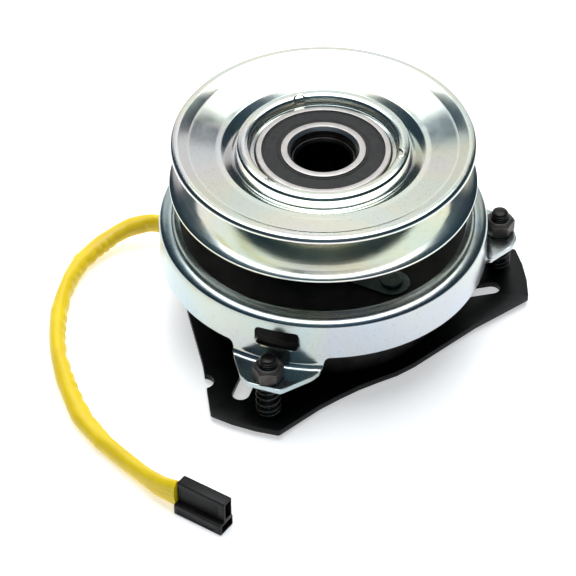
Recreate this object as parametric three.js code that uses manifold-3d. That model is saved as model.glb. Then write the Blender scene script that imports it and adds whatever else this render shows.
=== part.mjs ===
// Electromagnetic clutch for a belt drive, such as a mower deck's.
// Millimetres, +Z up. The origin is on the crankshaft axis, level with the ends of the
// adjusting studs that the clutch stands on. Stud 1 is the front one.

import * as THREE from 'three';
import { mergeVertices } from 'three/addons/utils/BufferGeometryUtils.js';
import Module from 'manifold-3d';

const wasm = await Module();
wasm.setup();

// ---------------------------------------------------------------- driving dimensions
const GAP = 0.3;                 // air between pieces that touch
const THIRDS = [0, 120, 240];    // turns of what comes three times round the axis
const FINE = 36;                 // sides of the large round pieces
const ROUND = 24;                // sides of the middle-sized round pieces
const SMALL = 24;                // sides of bearings and hub
const TINY = 12;                 // sides of studs and rivets

const CRANK_BORE = 12.7;         // radius, for a 1 in crankshaft
const KEYWAY = { width: 6.35, depth: 2.8, top: 74 };

const STUD_CIRCLE = 85.4;        // radius of the circle the three studs stand on
const STUD_ANGLES = [-107.5, 12.5, 132.5];
const STUD = { radius: 3.97, head: 7, headTop: 2.2, top: 38.7, chamfer: 1 };

const PLATE = { bottom: 2.5, top: 5.5, hub: 24, studHole: 4.35 };
const SHELL = { outer: 57.5, outerWall: 54, innerWall: 38, seat: 34.4, step: 30, top: 37.5, floor: 3 };
const BOBBIN = { bottom: 9.1, top: 34, flange: 1.4, core: 1.5 };
const COIL = { inner: 40.2, outer: 52.6, bottom: 10.8, top: 32.3 };
const POTTING = { inner: 38.3, outer: 53.6, bottom: 34.3, top: 36.9 };
const SNAP_RING = { inner: 31, outer: 35.7, lift: 0.6, thickness: 1.6, mouth: 9, at: 75 };
const GROMMET = { bore: 4.6, neck: 6, flange: 7.8, inner: 54.6, outer: 60 };

const ROTOR = { bottom: 38.7, top: 44.7, radius: 69, rimInner: 58.2, rimOuter: 64, rimBottom: 30 };
const ROTOR_SLOTS = [
  { radius: 43, from: 10, to: 110 },
  { radius: 52, from: -50, to: 50 },
];
const ROTOR_SLOT_WIDTH = 3;
const ROTOR_HUB = {
  bottom: 3, fit: 0.35, collar: 22, collarTop: 32, flange: 28.5, top: 87.7, chamfer: 1.2,
};
const ARMATURE = { bottom: 45.3, top: 50.3, inner: 43.5, outer: 70.5, rivetCircle: 54.6 };
const LEAF = { bottom: 50.6, top: 51.4, angle: -56, heading: 150, length: 26 };
const RIVET = { shank: 3, head: 4.8, hole: 3.3, hubBottom: 48.4, hubTop: 56.8, bottom: 45.7, top: 53.3 };

const RING = { inner: 73.7, outer: 76.2, lip: 66.2, bottom: 33.2, corner: 4.5, top: 54 };
const EAR = { bottom: 24.7, top: 27.2, hole: 4.6 };
const SKIRT = { from: -15.6, to: 17.2 };
const WINDOW = { bottom: 36.5, top: 47, from: -7.1, to: 8.6 };
const NUT = { bottom: 27.5, shoulder: 33.7, top: 34.8, flats: 12.7, insert: 4.9 };
const SPRING = { radius: 5.1, wire: 0.75, turns: 6, perTurn: 10 };

const SHEET = 2.3;               // thickness of the pulley halves
const PULLEY = {
  rim: 69.85, lowerRim: 70.8, rimTop: 98.1, floor: 50,
  neck: 33.7, neckBottom: 80, lip: 31.4, lipTop: 91.2, crest: 96.35,
};
// The ridge round the bearing and the groove outside it, from the lip outward: [radius, height].
const PULLEY_RIDGE = [
  [33.3, 91.4], [33.8, 92], [33.8, 94.9], [34.4, 95.7], [35.3, 96.2], [36.6, PULLEY.crest],
  [37.8, 96.2], [38.8, 95.7], [39.5, 94.7], [39.8, 92], [40.1, 90.8], [40.8, 90.1], [41.8, 90.2],
  [46.6, 93], [47.4, 93.15],
];
const HOUSING = {
  inner: 31.4, outer: 33.4, top: 89.9, shoulder: 76.2, step: 73.4, bore: 22.6,
  waist: 27, flange: 44, thickness: 3,
};

const PULLEY_BEARING = {         // 6206-2RS
  bore: 15, outer: 31, bottom: 76.5, top: 92.5, pitch: 23.25, ball: 4.76, balls: 9, shoulder: 19.5,
};
const FIELD_BEARING = {          // 6008-2RS
  bore: 20, outer: 34, bottom: 9.1, top: 24.1, pitch: 27, ball: 3.97, balls: 12, shoulder: 24.2,
};

const SEAL = { rabbet: 1.2, depth: 1.9, thickness: 1.2 };
const TRACK = { play: 0.35, mouth: 0.78, floor: 0.42 };   // mouth and floor are shares of the ball's radius
const CAGE = { width: 2.2, height: 2 };
const RING_CHAMFER = 1.5;

const LEAD = { angle: 151.5, height: 14, radius: 4.3, steps: 32, sides: 10 };
// Middle line of the sleeved lead from the grommet to the connector, chosen by hand.
const LEAD_ROUTE = [
  [-47.6, 25.9, 14], [-62, 33.7, 13.9], [-76, 40.4, 13], [-87, 43.2, 11], [-96.5, 40.4, 8.5],
  [-104.6, 35, 6.4], [-111.6, 27.8, 5], [-117, 18.4, 4.6], [-121, 6.8, 4.6], [-123.6, -7.6, 4.6],
  [-124.5, -23, 4.6], [-123.5, -38.8, 4.6], [-120.6, -53.6, 4.6], [-116.1, -69.1, 4.6],
  [-110, -84, 4.6], [-101.6, -97.8, 4.6], [-91.9, -109.8, 4.7], [-82, -121, 5.4],
  [-73.4, -130.8, 7.2], [-65.8, -136.6, 8.6],
];
const CONNECTOR = {
  angle: -34, back: [-65, -136.8], length: 25.4, height: 17, ledge: 6,
  width: 9.6, setback: 2.9, upperWidth: 6, wall: 0.9,
};
const TERMINAL = { width: 6.2, thickness: 1.6, length: 17 };

// ---------------------------------------------------------------- finishes
const finish = (color, roughness, metalness) => ({ color, roughness, metalness });
const ZINC = finish('#c9d0d4', 0.25, 1);
const E_COAT = finish('#0c0c0d', 0.35, 0.2);
const BLACK_STEEL = finish('#17181a', 0.5, 0.6);
const PHOSPHATE = finish('#4d4742', 0.6, 0.5);
const SPRING_STEEL = finish('#1b1b1d', 0.4, 0.7);
const BEARING_STEEL = finish('#c8c2bd', 0.3, 1);
const SEAL_RUBBER = finish('#343334', 0.75, 0);
const COPPER = finish('#a85f35', 0.4, 0.8);
const BOBBIN_NYLON = finish('#d8d2c0', 0.6, 0);
const EPOXY = finish('#1d1d1f', 0.5, 0);
const YELLOW_VINYL = finish('#e8c31a', 0.45, 0);
const BLACK_NYLON = finish('#1e1e1f', 0.45, 0);
const TINNED_BRASS = finish('#b9a56a', 0.35, 1);

// ---------------------------------------------------------------- shapes
const clutch = new THREE.Group();

function addPart(name, geometry, { color, roughness, metalness }) {
  const material = new THREE.MeshStandardMaterial({ color, roughness, metalness });
  const mesh = new THREE.Mesh(geometry, material);
  mesh.name = name;
  clutch.add(mesh);
}

const radians = (degrees) => THREE.MathUtils.degToRad(degrees);

// A point at a radius and an angle about the crankshaft axis.
function polar(radius, degrees) {
  const angle = radians(degrees);
  return new THREE.Vector2(radius * Math.cos(angle), radius * Math.sin(angle));
}

// Points of an arc, end points included, as [x, y] pairs.
function arc(x, y, radius, from, to, steps) {
  return Array.from({ length: steps + 1 }, (_, i) => {
    const angle = radians(from + ((to - from) * i) / steps);
    return [x + radius * Math.cos(angle), y + radius * Math.sin(angle)];
  });
}

// A ring or a solid of revolution from its half section, [radius, height] points.
function turned(section, sides) {
  const points = section.map(([radius, height]) => new THREE.Vector2(radius, height));
  if (THREE.ShapeUtils.area(points) < 0) points.reverse();
  const touchesAxis = points[0].x === 0 && points[points.length - 1].x === 0;
  if (!touchesAxis) points.push(points[0].clone());
  return new THREE.LatheGeometry(points, sides).rotateX(Math.PI / 2);
}

const tube = (inner, outer, bottom, top, sides) =>
  turned([[inner, bottom], [outer, bottom], [outer, top], [inner, top]], sides);

const disc = (radius, bottom, top, sides) =>
  turned([[0, bottom], [radius, bottom], [radius, top], [0, top]], sides);

// An upright prism on an outline.
function prism(outline, bottom, top) {
  const options = { depth: top - bottom, bevelEnabled: false };
  return new THREE.ExtrudeGeometry(outline, options).translate(0, 0, bottom);
}

const shapeOf = (pairs) => new THREE.Shape(pairs.map(([x, y]) => new THREE.Vector2(x, y)));

function toSolid(geometry) {
  const bare = geometry.clone();
  bare.deleteAttribute('normal');
  bare.deleteAttribute('uv');
  const merged = mergeVertices(bare);
  const corners = merged.index.array;
  const triangles = [];
  for (let i = 0; i < corners.length; i += 3) {
    const [a, b, c] = corners.slice(i, i + 3);
    if (a !== b && b !== c && c !== a) triangles.push(a, b, c);
  }
  return new wasm.Manifold(new wasm.Mesh({
    numProp: 3,
    vertProperties: new Float32Array(merged.attributes.position.array),
    triVerts: new Uint32Array(triangles),
  }));
}

function toGeometry(solid) {
  const { vertProperties, triVerts } = solid.getMesh();
  const geometry = new THREE.BufferGeometry();
  geometry.setAttribute('position', new THREE.BufferAttribute(vertProperties, 3));
  geometry.setIndex(new THREE.BufferAttribute(triVerts, 1));
  return geometry;
}

const cut = (body, ...tools) =>
  toGeometry(tools.reduce((rest, tool) => rest.subtract(toSolid(tool)), toSolid(body)));

const join = (...bodies) =>
  toGeometry(bodies.slice(1).reduce((all, body) => all.add(toSolid(body)), toSolid(bodies[0])));

// Moves a shape built round the axis onto a spot, turned by an angle about +Z.
const placed = (geometry, [x, y], degrees = 0) =>
  geometry.rotateZ(radians(degrees)).translate(x, y, 0);

// Runs make(index, angle, centre) for each of the three studs.
function eachStud(make) {
  STUD_ANGLES.forEach((angle, i) => {
    const { x, y } = polar(STUD_CIRCLE, angle);
    make(i + 1, angle, [x, y]);
  });
}

// ---------------------------------------------------------------- field assembly
// One third of the plate's outline, as [angle from the stud, radius].
const PLATE_CORNERS = [
  [-31, 74.8], [-15, 97], [-8.3, 97], [-1.7, 97], [5, 97], [9.9, 86.8], [16, 77.6], [23, 71.4],
];
const PLATE_WAIST = [[31, 67], [40, 65], [48.7, 65], [57.5, 65]];
const PLATE_SLOT = { across: -15.6, inner: 66.2, outer: 78.2, radius: 4 };
const PLATE_NOTCH = { centre: [-55.3, -61.4], radius: 4.6 };

// A slot's outline in a stud's own frame: x outward, y counterclockwise.
function slotOutline({ across, inner, outer, radius }) {
  const outerEnd = arc(outer, across, radius, -90, 90, 6);
  const innerEnd = arc(inner, across, radius, 90, 270, 6);
  return shapeOf([...outerEnd, ...innerEnd]);
}

function mountingPlate() {
  const outline = STUD_ANGLES.flatMap((angle) =>
    [...PLATE_CORNERS, ...PLATE_WAIST].map(([turn, radius]) => polar(radius, angle + turn)));
  const { bottom, top, hub, studHole } = PLATE;
  const tools = [disc(hub, bottom - 1, top + 1, ROUND)];
  eachStud((_, angle, centre) => {
    tools.push(placed(disc(studHole, bottom - 1, top + 1, TINY), centre));
    tools.push(placed(prism(slotOutline(PLATE_SLOT), bottom - 1, top + 1), [0, 0], angle));
  });
  const { centre, radius } = PLATE_NOTCH;
  tools.push(placed(disc(radius, bottom - 1, top + 1, SMALL), centre));
  return cut(prism(new THREE.Shape(outline), bottom, top), ...tools);
}

// A round shape whose axis points out of the field shell along the lead.
function alongLead(geometry) {
  const { angle, height } = LEAD;
  return geometry.rotateY(Math.PI / 2).rotateZ(radians(angle)).translate(0, 0, height);
}

function fieldShell() {
  const bottom = PLATE.top + GAP;
  const deck = bottom + SHELL.floor;
  const { outer, outerWall, innerWall, seat, step, top } = SHELL;
  const ringBottom = FIELD_BEARING.top + SNAP_RING.lift;
  const groove = {
    depth: 1.6, bottom: ringBottom - GAP, top: ringBottom + SNAP_RING.thickness + GAP,
  };
  const body = turned([
    [step, bottom], [outer, bottom], [outer, top], [outerWall, top],
    [outerWall, deck], [innerWall, deck], [innerWall, top], [seat, top],
    [seat, groove.top], [seat + groove.depth, groove.top],
    [seat + groove.depth, groove.bottom], [seat, groove.bottom],
    [seat, deck], [step, deck],
  ], ROUND);
  const leadHole = alongLead(disc(GROMMET.neck + GAP, outerWall - 4, outer + 4, SMALL));
  return cut(body, leadHole);
}

function snapRing() {
  const { inner, outer, lift, thickness, mouth, at } = SNAP_RING;
  const bottom = FIELD_BEARING.top + lift;
  const ring = tube(inner, outer, bottom, bottom + thickness, ROUND);
  const opening = box([inner - 1, -mouth / 2, bottom - 1], [outer + 1, mouth / 2, bottom + thickness + 1]);
  return cut(ring, placed(opening, [0, 0], at));
}

function coilBobbin() {
  const { bottom, top, flange, core } = BOBBIN;
  const inner = SHELL.innerWall + GAP;
  const edge = SHELL.outerWall - 0.8;
  return turned([
    [inner, bottom], [edge, bottom], [edge, bottom + flange], [inner + core, bottom + flange],
    [inner + core, top - flange], [edge, top - flange], [edge, top], [inner, top],
  ], ROUND);
}

function leadGrommet() {
  const { bore, neck, flange, inner, outer } = GROMMET;
  const seat = SHELL.outer + GAP;
  return alongLead(turned([
    [bore, inner], [neck, inner], [neck, seat], [flange, seat],
    [flange, outer - 0.6], [flange - 1.2, outer], [bore, outer],
  ], SMALL));
}

function buildField() {
  addPart('mounting_plate', mountingPlate(), E_COAT);
  addPart('field_shell', fieldShell(), BLACK_STEEL);
  addPart('coil_bobbin', coilBobbin(), BOBBIN_NYLON);
  for (const [name, size, look] of [['coil_winding', COIL, COPPER], ['coil_potting', POTTING, EPOXY]]) {
    addPart(name, tube(size.inner, size.outer, size.bottom, size.top, ROUND), look);
  }
  addPart('field_snap_ring', snapRing(), SPRING_STEEL);
  addPart('lead_grommet', leadGrommet(), SEAL_RUBBER);
}

// ---------------------------------------------------------------- bearings
function outerRace({ bottom, top, outer, pitch, ball, shoulder }) {
  const middle = (bottom + top) / 2;
  const land = 2 * pitch - shoulder;
  const race = pitch + ball + TRACK.play;
  const recess = land + SEAL.rabbet;
  return turned([
    [outer, bottom], [outer, top], [recess, top], [recess, top - SEAL.depth], [land, top - SEAL.depth],
    [land, middle + TRACK.mouth * ball], [race, middle + TRACK.floor * ball],
    [race, middle - TRACK.floor * ball], [land, middle - TRACK.mouth * ball],
    [land, bottom + SEAL.depth], [recess, bottom + SEAL.depth], [recess, bottom],
  ], SMALL);
}

function innerRace({ bottom, top, bore, pitch, ball, shoulder }) {
  const middle = (bottom + top) / 2;
  const race = pitch - ball - TRACK.play;
  return turned([
    [bore, bottom + RING_CHAMFER], [bore + RING_CHAMFER, bottom], [shoulder, bottom],
    [shoulder, middle - TRACK.mouth * ball], [race, middle - TRACK.floor * ball],
    [race, middle + TRACK.floor * ball], [shoulder, middle + TRACK.mouth * ball],
    [shoulder, top], [bore + RING_CHAMFER, top], [bore, top - RING_CHAMFER],
  ], SMALL);
}

// The balls and the cage that spaces them, as one piece.
function ballCage({ bottom, top, pitch, ball, balls }) {
  const middle = (bottom + top) / 2;
  const spheres = Array.from({ length: balls }, (_, i) => {
    const { x, y } = polar(pitch, (i * 360) / balls);
    return new THREE.OctahedronGeometry(ball, 1).translate(x, y, middle);
  });
  const { width, height } = CAGE;
  const ring = tube(pitch - width / 2, pitch + width / 2, middle - height / 2, middle + height / 2, SMALL);
  return join(ring, ...spheres);
}

function bearingSeal({ pitch, shoulder }, bottom) {
  const outer = 2 * pitch - shoulder + SEAL.rabbet - GAP;
  return tube(shoulder + GAP, outer, bottom, bottom + SEAL.thickness, SMALL);
}

function buildBearing(name, bearing) {
  addPart(`${name}_outer_ring`, outerRace(bearing), BEARING_STEEL);
  addPart(`${name}_inner_ring`, innerRace(bearing), BEARING_STEEL);
  addPart(`${name}_ball_cage`, ballCage(bearing), BEARING_STEEL);
  addPart(`${name}_top_seal`, bearingSeal(bearing, bearing.top - 1.6), SEAL_RUBBER);
  addPart(`${name}_bottom_seal`, bearingSeal(bearing, bearing.bottom + 0.4), SEAL_RUBBER);
}

// ---------------------------------------------------------------- rotor
function rotorHub() {
  const { bottom, fit, collar, collarTop, flange, top, chamfer } = ROTOR_HUB;
  const lower = FIELD_BEARING.bore - fit;
  const neck = PULLEY_BEARING.bore - fit;
  const seat = FIELD_BEARING.top + GAP;
  const flangeTop = ROTOR.bottom - GAP;
  const body = turned([
    [CRANK_BORE, bottom], [lower, bottom], [lower, seat], [collar, seat],
    [collar, collarTop], [flange, collarTop + 1], [flange, flangeTop], [lower, flangeTop],
    [lower, HOUSING.shoulder], [neck, HOUSING.shoulder], [neck, top],
    [CRANK_BORE + chamfer, top], [CRANK_BORE, top - chamfer],
  ], SMALL);
  const { width, depth } = KEYWAY;
  const key = box([0, -width / 2, 0], [CRANK_BORE + depth, width / 2, KEYWAY.top]);
  return cut(body, placed(key, [0, 0], 90));
}

// A banana slot: part of a ring through the rotor disc, about a middle radius.
function arcSlot({ radius, from, to }) {
  const outer = radius + ROTOR_SLOT_WIDTH / 2;
  const inner = radius - ROTOR_SLOT_WIDTH / 2;
  const outline = shapeOf([...arc(0, 0, outer, from, to, 8), ...arc(0, 0, inner, to, from, 8)]);
  return prism(outline, ROTOR.bottom - 1, ROTOR.top + 1);
}

function rotorDisc() {
  const { bottom, top, radius, rimInner, rimOuter, rimBottom } = ROTOR;
  const inner = FIELD_BEARING.bore;
  const body = turned([
    [inner, bottom], [rimInner, bottom], [rimInner, rimBottom], [rimOuter, rimBottom],
    [rimOuter, bottom], [radius, bottom], [radius, top], [inner, top],
  ], FINE);
  const slots = THIRDS.flatMap((turn) => ROTOR_SLOTS.map((slot) => placed(arcSlot(slot), [0, 0], turn)));
  return cut(body, ...slots);
}

// ---------------------------------------------------------------- pulley
function pulleyUpper() {
  const { rim, rimTop, neck, neckBottom, lip, lipTop } = PULLEY;
  const lipBottom = HOUSING.top + GAP;
  return turned([
    [neck, neckBottom], [neck, lipBottom], [lip, lipBottom], [lip, lipTop - 0.3], [lip + 0.3, lipTop],
    ...PULLEY_RIDGE, [49, 93.2], [61.8, 96.2], [65.6, 97.9],
    [66.2, rimTop], [67.8, rimTop], [rim - 0.5, rimTop - 0.9], [rim, rimTop - SHEET],
    [66.2, 95.5], [62, 94], [50.4, 90.9], [47.6, 90.8], [42.9, 88.05], [42.2, 87.8], [38.2, 87.8],
    [37.6, 88.4], [37.6, 93.4], [37.2, 94], [neck + SHEET + 0.4, 94], [neck + SHEET, 93.4],
    [neck + SHEET, neckBottom],
  ], FINE);
}

function pulleyLower() {
  const { floor, lowerRim, neck } = PULLEY;
  const inner = neck + SHEET + GAP;
  return turned([
    [inner, 85.1], [inner, 87.4], [42.4, 87.4], [47.4, 90.25], [48.8, 90.3], [floor, 89.2],
    [floor, 83.8], [51, 82.5], [63.5, 78.4], [66, 77.45], [68.5, 76.35], [70.2, 75.5],
    [lowerRim, 74.9], [lowerRim, 74], [69.9, 73.2], [67.5, 74.4], [65, 75.4], [62.8, 76.2],
    [50.2, 80.3], [47.7, 82.6], [47.7, 87.2], [46.9, 87.3], [43.2, 85.1],
  ], FINE);
}

const ARMATURE_RIVET_SPOTS = THIRDS.map((turn) => {
  const { x, y } = polar(ARMATURE.rivetCircle, LEAF.angle + turn);
  return [x, y];
});
const HUB_RIVET_SPOTS = ARMATURE_RIVET_SPOTS.map(([x, y], i) => {
  const step = polar(LEAF.length, LEAF.heading + THIRDS[i]);
  return [x + step.x, y + step.y];
});
const HUB_FLANGE_BOTTOM = LEAF.top + GAP;
const HUB_FLANGE_TOP = HUB_FLANGE_BOTTOM + HOUSING.thickness;

function pulleyHub() {
  const { inner, outer, top, shoulder, step, bore, waist, flange } = HOUSING;
  const body = turned([
    [bore, HUB_FLANGE_BOTTOM], [flange, HUB_FLANGE_BOTTOM], [flange, HUB_FLANGE_TOP],
    [waist, HUB_FLANGE_TOP], [waist, step], [outer, step],
    [outer, top], [inner, top], [inner, shoulder], [bore, shoulder],
  ], ROUND);
  const holes = HUB_RIVET_SPOTS.map((spot) =>
    placed(disc(RIVET.hole, HUB_FLANGE_BOTTOM - 1, HUB_FLANGE_TOP + 1, TINY), spot));
  return cut(body, ...holes);
}

function hubRivet() {
  const { shank, head, hubBottom, hubTop } = RIVET;
  const lowerSeat = LEAF.bottom - GAP;
  const upperSeat = HUB_FLANGE_TOP + GAP;
  return turned([
    [0, hubBottom], [head - 0.6, hubBottom], [head, hubBottom + 0.6], [head, lowerSeat],
    [shank, lowerSeat], [shank, upperSeat], [head, upperSeat], [head, hubTop - 0.6],
    [head - 0.8, hubTop], [0, hubTop],
  ], TINY);
}

// ---------------------------------------------------------------- armature
function armature() {
  const { inner, outer, bottom, top } = ARMATURE;
  const holes = ARMATURE_RIVET_SPOTS.map((spot) =>
    placed(disc(RIVET.hole, bottom - 1, top + 1, TINY), spot));
  return cut(tube(inner, outer, bottom, top, FINE), ...holes);
}

function armatureRivet() {
  const { shank, head, bottom, top } = RIVET;
  const seat = LEAF.top + GAP;
  return turned([
    [0, bottom], [shank, bottom], [shank, seat], [head, seat], [head, top - 0.6],
    [head - 0.9, top], [0, top],
  ], TINY);
}

// A flat strap with a round lobe and a rivet hole at each end, drawn along +X.
function leafOutline() {
  const outer = { radius: 8.3, x: 0 };
  const inner = { radius: 9, x: LEAF.length };
  const taper = Math.asin((inner.radius - outer.radius) / LEAF.length);
  const flank = 90 + THREE.MathUtils.radToDeg(taper);
  const shape = shapeOf([
    ...arc(outer.x, 0, outer.radius, flank, 360 - flank, 12),
    ...arc(inner.x, 0, inner.radius, -flank, flank, 12),
  ]);
  for (const { x } of [outer, inner]) {
    const hole = arc(x, 0, RIVET.hole, 0, 330, 11).map(([px, py]) => new THREE.Vector2(px, py));
    shape.holes.push(new THREE.Path(hole));
  }
  return shape;
}

function buildArmature() {
  addPart('armature_plate', armature(), BLACK_STEEL);
  THIRDS.forEach((turn, i) => {
    const spot = ARMATURE_RIVET_SPOTS[i];
    const leaf = placed(prism(leafOutline(), LEAF.bottom, LEAF.top), spot, LEAF.heading + turn);
    addPart(`leaf_spring_${i + 1}`, leaf, SPRING_STEEL);
    addPart(`armature_rivet_${i + 1}`, placed(armatureRivet(), spot), ZINC);
  });
}

// ---------------------------------------------------------------- brake
// Ear outline in its stud's frame, [outward, counterclockwise].
const EAR_CORNERS = [
  [73, -20.6], [74.2, -20.6], [88.4, -12.4], [91.9, -8],
  [92.7, 8.1], [80.2, 19.1], [73.6, 22.3], [71.5, 22.3],
];

// A block of the ring wall at a stud, from one angle to another and between two heights.
function wallSector(inner, outer, { from, to }, bottom, top, stud) {
  const ends = [...arc(0, 0, outer, from, to, 6), ...arc(0, 0, inner, to, from, 6)];
  return placed(prism(shapeOf(ends), bottom, top), [0, 0], stud);
}

function brakeRing() {
  const { inner, outer, lip, bottom, corner, top } = RING;
  const wall = turned([
    [inner, bottom], [outer, bottom], ...arc(outer - corner, top - corner, corner, 0, 90, 4),
    [69.4, top - 0.2], [68.8, top - 0.9], [lip, top - 0.9], [lip, top - 3.4],
    [inner - 2.2, top - 3.4], [inner, top - 5.6],
  ], FINE);
  const pieces = [];
  const tools = [disc(inner, EAR.bottom - 1, bottom + 10, FINE)];
  eachStud((_, angle, centre) => {
    pieces.push(placed(prism(shapeOf(EAR_CORNERS), EAR.bottom, EAR.top), [0, 0], angle));
    pieces.push(wallSector(inner - 0.5, outer - 0.15, SKIRT, EAR.bottom, bottom + 2, angle));
    tools.push(placed(disc(EAR.hole, EAR.bottom - 1, EAR.top + 1, TINY), centre));
    tools.push(wallSector(inner - 3, outer + 3, WINDOW, WINDOW.bottom, WINDOW.top, angle));
  });
  return cut(join(wall, ...pieces), ...tools);
}

function stud() {
  const { radius, head, headTop, top, chamfer } = STUD;
  return turned([
    [0, 0], [head - 0.6, 0], [head, 0.6], [head, headTop], [radius, headTop],
    [radius, top - chamfer], [radius - chamfer, top], [0, top],
  ], TINY);
}

function lockNut() {
  const { bottom, shoulder, top, flats, insert } = NUT;
  const bore = STUD.radius + 0.5;
  const corner = flats / Math.sqrt(3);
  const hex = Array.from({ length: 6 }, (_, i) => polar(corner, i * 60));
  const body = prism(new THREE.Shape(hex), bottom, top);
  const collar = turned([
    [bore, bottom - 1], [corner + 2, bottom - 1], [corner + 2, shoulder + 0.9],
    [corner, shoulder], [insert + 0.1, top], [insert, top + 1], [bore, top + 1],
  ], TINY);
  return toGeometry(toSolid(body).intersect(toSolid(collar)));
}

function brakeSpring() {
  const { radius, wire, turns, perTurn } = SPRING;
  const bottom = PLATE.top + GAP + wire;
  const rise = EAR.bottom - PLATE.top - 2 * GAP - 2 * wire;
  const steps = turns * perTurn;
  const path = new THREE.Curve();
  path.getPoint = (t) => {
    const { x, y } = polar(radius, t * turns * 360);
    return new THREE.Vector3(x, y, bottom + rise * t);
  };
  path.getPointAt = path.getPoint;
  const section = shapeOf(arc(0, 0, wire, 0, 288, 4));
  return new THREE.ExtrudeGeometry(section, { steps, extrudePath: path });
}

function buildBrake() {
  addPart('brake_ring', brakeRing(), ZINC);
  eachStud((number, angle, centre) => {
    addPart(`adjusting_stud_${number}`, placed(stud(), centre), BLACK_STEEL);
    addPart(`lock_nut_${number}`, placed(lockNut(), centre, angle - STUD_ANGLES[0]), PHOSPHATE);
    addPart(`brake_spring_${number}`, placed(brakeSpring(), centre), SPRING_STEEL);
  });
}

// ---------------------------------------------------------------- lead
function leadSleeve() {
  const { radius, steps, sides } = LEAD;
  const path = new THREE.CatmullRomCurve3(LEAD_ROUTE.map((point) => new THREE.Vector3(...point)));
  const section = shapeOf(arc(0, 0, radius, 0, 360 - 360 / sides, sides - 1));
  return new THREE.ExtrudeGeometry(section, { steps, extrudePath: path });
}

// Connector frame: x along the terminals from the wire end, y across, z up.
const atConnector = (geometry) => placed(geometry, CONNECTOR.back, CONNECTOR.angle);

function box(from, to) {
  const size = to.map((high, i) => high - from[i]);
  const middle = to.map((high, i) => (high + from[i]) / 2);
  return new THREE.BoxGeometry(...size).translate(...middle);
}

// Sockets: one upright above, one lying flat below.
function connectorSockets() {
  const { length, height, ledge, width, setback, upperWidth, wall } = CONNECTOR;
  const near = -width / 2;
  const upper = [near + setback + wall, near + setback + upperWidth - wall];
  const rib = 1.2;
  return [
    { from: [2.4, upper[0], ledge + rib], to: [length + 1, upper[1], height - wall] },
    { from: [2.4, near + wall, wall], to: [length + 1, -near - wall, ledge - wall] },
  ];
}

function connectorHousing() {
  const { length, height, ledge, width, setback, upperWidth } = CONNECTOR;
  const near = -width / 2;
  const lower = box([0, near, 0], [length, -near, ledge]);
  const upper = box([0, near + setback, ledge - 1], [length, near + setback + upperWidth, height]);
  const sockets = connectorSockets().map(({ from, to }) => box(from, to));
  return atConnector(cut(join(lower, upper), ...sockets));
}

function buildLead() {
  addPart('lead_sleeve', leadSleeve(), YELLOW_VINYL);
  addPart('connector_housing', connectorHousing(), BLACK_NYLON);
  const { width, thickness, length } = TERMINAL;
  connectorSockets().forEach(({ from, to }, i) => {
    const y = (from[1] + to[1]) / 2;
    const z = (from[2] + to[2]) / 2;
    const half = i === 0 ? [thickness / 2, width / 2] : [width / 2, thickness / 2];
    const blade = box([3, y - half[0], z - half[1]], [3 + length, y + half[0], z + half[1]]);
    addPart(`connector_terminal_${i + 1}`, atConnector(blade), TINNED_BRASS);
  });
}

// ---------------------------------------------------------------- assembly
buildField();
buildBearing('field_bearing', FIELD_BEARING);
buildLead();

addPart('rotor_hub', rotorHub(), BLACK_STEEL);
addPart('rotor_disc', rotorDisc(), BLACK_STEEL);

buildBearing('pulley_bearing', PULLEY_BEARING);
addPart('pulley_upper', pulleyUpper(), ZINC);
addPart('pulley_lower', pulleyLower(), ZINC);
addPart('pulley_hub', pulleyHub(), ZINC);
HUB_RIVET_SPOTS.forEach((spot, i) => addPart(`hub_rivet_${i + 1}`, placed(hubRivet(), spot), ZINC));

buildArmature();
buildBrake();

export default clutch;
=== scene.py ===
"""Looks of an electromagnetic clutch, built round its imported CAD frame.

Shapes are worked out in millimetres in the CAD frame and turned into metres when a mesh is made.
"""

import math
from contextlib import contextmanager

import bmesh
import bpy
from mathutils import Matrix, Vector, noise


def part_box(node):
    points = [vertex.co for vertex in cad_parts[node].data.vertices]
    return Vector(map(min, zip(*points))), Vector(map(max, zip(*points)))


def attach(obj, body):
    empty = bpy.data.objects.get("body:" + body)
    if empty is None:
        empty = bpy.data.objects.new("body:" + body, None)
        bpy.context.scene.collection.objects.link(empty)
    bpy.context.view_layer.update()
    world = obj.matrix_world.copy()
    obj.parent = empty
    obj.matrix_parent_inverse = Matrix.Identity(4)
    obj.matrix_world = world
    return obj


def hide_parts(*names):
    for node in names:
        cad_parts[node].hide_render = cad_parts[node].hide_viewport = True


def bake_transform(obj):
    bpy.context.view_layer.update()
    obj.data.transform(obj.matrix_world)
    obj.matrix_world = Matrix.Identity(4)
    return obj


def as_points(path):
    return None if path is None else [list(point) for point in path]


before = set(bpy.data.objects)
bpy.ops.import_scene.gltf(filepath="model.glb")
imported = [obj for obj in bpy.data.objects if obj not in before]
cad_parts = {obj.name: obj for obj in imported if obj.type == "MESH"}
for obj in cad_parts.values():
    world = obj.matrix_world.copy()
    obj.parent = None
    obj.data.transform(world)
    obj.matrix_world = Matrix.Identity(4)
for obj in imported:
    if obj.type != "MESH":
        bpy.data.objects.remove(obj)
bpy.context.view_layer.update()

MM = 0.001
STUD_ANGLES = (-107.5, 12.5, 132.5)
STUD_CIRCLE = 85.4
THIRDS = (0, 120, 240)


# ---------------------------------------------------------------- camera, light and floor
def aim(obj, target, roll=0.0):
    """Turns a camera or light so that it looks at a target."""
    way = (Vector(target) - obj.location).to_track_quat("-Z", "Y")
    obj.rotation_mode = "QUATERNION"
    obj.rotation_quaternion = way @ Matrix.Rotation(math.radians(roll), 4, "Z").to_quaternion()


def add_object(name, data):
    obj = bpy.data.objects.new(name, data)
    bpy.context.collection.objects.link(obj)
    return obj


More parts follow.
